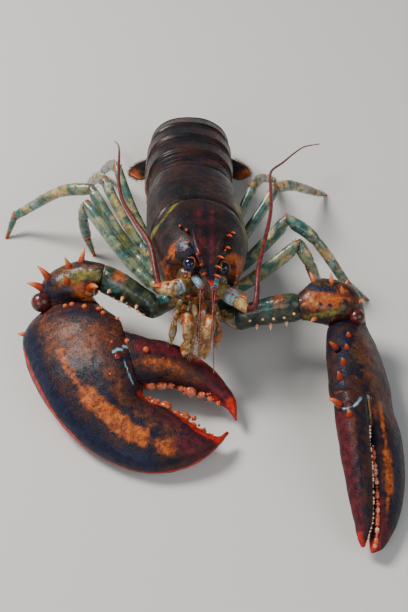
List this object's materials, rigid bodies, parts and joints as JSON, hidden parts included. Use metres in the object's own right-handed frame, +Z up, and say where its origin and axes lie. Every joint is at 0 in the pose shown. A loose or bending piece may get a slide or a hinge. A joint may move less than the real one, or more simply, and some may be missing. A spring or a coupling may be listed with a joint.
{
  "type": "american lobster",
  "caption": "Life-size still model of an american lobster in a walking stance, heavy crusher claw and slender cutter claw spread before the head, abdomen curled under.",
  "frame": {"origin": "on the floor below the middle of the model's box, seen from above", "axes": "+Z up; the head points to -Y and the tail to +Y; +X is the animal's left"},
  "size_m": [0.2365, 0.3272, 0.0837],
  "materials": {
    "shell_dark": "glossy, pitted",
    "shell_claw": "glossy, pitted",
    "shell_belly": "satin",
    "limb_teal": "glossy",
    "feeler_red": "satin",
    "eye_black": "glossy",
    "joint_red": "glossy",
    "tooth_ivory": "glossy",
    "joint_membrane": "matte",
    "fringe_hair": "matte"
  },
  "bodies": {
    "root": {"carapace": "shell_dark", "thorax": "shell_belly", "face": "shell_belly", "eye_left": "eye_black", "eye_right": "eye_black", "antenna_base_left": "shell_belly", "antenna_base_right": "shell_belly", "antenna_left": "feeler_red", "antenna_right": "feeler_red", "antennule_left": "feeler_red", "antennule_right": "feeler_red", "maxilliped_left": "shell_belly", "maxilliped_right": "shell_belly", "abdomen_1": "shell_dark", "abdomen_2": "shell_dark", "abdomen_3": "shell_dark", "abdomen_4": "shell_dark", "abdomen_5": "shell_dark", "abdomen_6": "shell_dark", "telson": "shell_dark", "uropod_inner_left": "shell_dark", "uropod_inner_right": "shell_dark", "uropod_outer_left": "shell_dark", "uropod_outer_right": "shell_dark", "leg_2_left_upper": "limb_teal", "leg_2_left_shin": "limb_teal", "leg_2_left_foot": "limb_teal", "leg_2_right_upper": "limb_teal", "leg_2_right_shin": "limb_teal", "leg_2_right_foot": "limb_teal", "leg_3_left_upper": "limb_teal", "leg_3_left_shin": "limb_teal", "leg_3_left_foot": "limb_teal", "leg_3_right_upper": "limb_teal", "leg_3_right_shin": "limb_teal", "leg_3_right_foot": "limb_teal", "leg_4_left_upper": "limb_teal", "leg_4_left_shin": "limb_teal", "leg_4_left_foot": "limb_teal", "leg_4_right_upper": "limb_teal", "leg_4_right_shin": "limb_teal", "leg_4_right_foot": "limb_teal", "leg_5_left_upper": "limb_teal", "leg_5_left_shin": "limb_teal", "leg_5_left_foot": "limb_teal", "leg_5_right_upper": "limb_teal", "leg_5_right_shin": "limb_teal", "leg_5_right_foot": "limb_teal", "crusher_ischium": "shell_belly", "crusher_merus": "limb_teal", "crusher_carpus": "shell_claw", "crusher_palm": "shell_claw", "crusher_finger": "shell_claw", "cutter_ischium": "shell_belly", "cutter_merus": "limb_teal", "cutter_carpus": "shell_claw", "cutter_palm": "shell_claw", "cutter_finger": "shell_claw", "crusher_fixed_finger": "shell_claw"}
  },
  "joints": []
}
